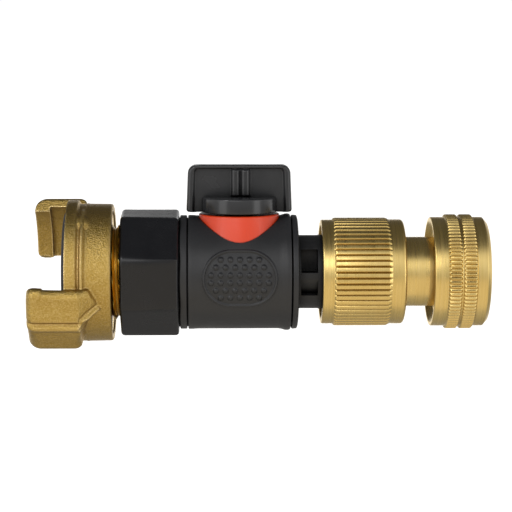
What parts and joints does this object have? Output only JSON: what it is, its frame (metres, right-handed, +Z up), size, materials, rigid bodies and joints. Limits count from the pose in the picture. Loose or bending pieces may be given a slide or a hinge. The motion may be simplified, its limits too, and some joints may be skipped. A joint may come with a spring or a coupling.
{
  "type": "inline water hose valve",
  "caption": "Inline water fitting: brass claw coupling, black union nut, quarter-turn regulating ball valve with wing handle, brass quick-connect hose coupling and swivel nut.",
  "frame": {"origin": "centre of the claw coupling's sealing face, on the flow axis", "axes": "+X along the flow axis from the claw coupling to the swivel nut; +Z up along the valve stem towards the handle; -Y is the side the picture shows"},
  "size_m": [0.1258, 0.0446, 0.0499],
  "materials": {
    "cast_brass": "cast, fine granular, satin",
    "turned_brass": "turned, fine tool lines, satin",
    "black_gloss_plastic": "semi-gloss moulded",
    "black_soft_plastic": "matte moulded",
    "red_plastic": "semi-gloss moulded",
    "white_seat_plastic": "smooth",
    "black_rubber": "matte",
    "plated_steel": "bright plated"
  },
  "bodies": {
    "claw_end": {"claw_coupling": "cast_brass", "coupling_seal": "black_rubber"},
    "valve": {"inlet_washer": "black_rubber", "inlet_tailpiece": "black_soft_plastic", "inlet_end_cap": "black_soft_plastic", "body_shell": "black_soft_plastic", "valve_core": "red_plastic", "seat_inlet": "white_seat_plastic", "seat_outlet": "white_seat_plastic", "outlet_spigot": "black_soft_plastic", "spigot_o_ring": "black_rubber"},
    "union_nut": {"inlet_nut": "black_gloss_plastic"},
    "handle_and_ball": {"handle": "black_gloss_plastic", "stem": "turned_brass", "ball": "plated_steel", "stem_o_ring_lower": "black_rubber", "stem_o_ring_upper": "black_rubber"},
    "connector": {"connector_body": "turned_brass", "spring_retaining_ring": "plated_steel", "sleeve_spring": "plated_steel", "swivel_circlip": "plated_steel"},
    "sleeve": {"release_sleeve": "turned_brass"},
    "lock_ball_1": {"locking_ball_1": "plated_steel"},
    "lock_ball_2": {"locking_ball_2": "plated_steel"},
    "lock_ball_3": {"locking_ball_3": "plated_steel"},
    "lock_ball_4": {"locking_ball_4": "plated_steel"},
    "outlet_nut": {"swivel_nut": "turned_brass", "swivel_washer": "black_rubber"}
  },
  "joints": [
    {"name": "union_nut_turn", "type": "hinge", "parent": "valve", "child": "union_nut", "pos_m": [0.0236, 0, 0], "axis": [1, 0, 0], "range_deg": [0, 1440]},
    {"name": "valve_draw_off", "type": "slide", "parent": "claw_end", "child": "valve", "axis": [1, 0, 0], "range_m": [0, 0.00726]},
    {"name": "handle_turn", "type": "hinge", "parent": "valve", "child": "handle_and_ball", "pos_m": [0.0482, 0, 0], "axis": [0, 0, 1], "range_deg": [0, 90]},
    {"name": "connector_swivel", "type": "hinge", "parent": "valve", "child": "connector", "pos_m": [0.0766, 0, 0], "axis": [1, 0, 0], "continuous": true},
    {"name": "sleeve_slide", "type": "slide", "parent": "connector", "child": "sleeve", "axis": [1, 0, 0], "range_m": [0, 0.004], "stiffness_N_per_m": 1500, "springref_m": -0.004, "deforming": ["sleeve_spring"]},
    {"name": "lock_ball_slide_1", "type": "slide", "parent": "connector", "child": "lock_ball_1", "axis": [0, 0.7071, 0.7071], "range_m": [0, 0.0012]},
    {"name": "lock_ball_slide_2", "type": "slide", "parent": "connector", "child": "lock_ball_2", "axis": [0, -0.7071, 0.7071], "range_m": [0, 0.0012]},
    {"name": "lock_ball_slide_3", "type": "slide", "parent": "connector", "child": "lock_ball_3", "axis": [0, -0.7071, -0.7071], "range_m": [0, 0.0012]},
    {"name": "lock_ball_slide_4", "type": "slide", "parent": "connector", "child": "lock_ball_4", "axis": [0, 0.7071, -0.7071], "range_m": [0, 0.0012]},
    {"name": "outlet_nut_spin", "type": "hinge", "parent": "connector", "child": "outlet_nut", "pos_m": [0.105, 0, 0], "axis": [1, 0, 0], "continuous": true}
  ],
  "couplings": [
    {"joint": "union_nut_turn", "follows": "valve_draw_off", "rad_per_m": 3463.7},
    {"joint": "lock_ball_slide_1", "follows": "sleeve_slide", "ratio": 0.3},
    {"joint": "lock_ball_slide_2", "follows": "sleeve_slide", "ratio": 0.3},
    {"joint": "lock_ball_slide_3", "follows": "sleeve_slide", "ratio": 0.3},
    {"joint": "lock_ball_slide_4", "follows": "sleeve_slide", "ratio": 0.3}
  ]
}
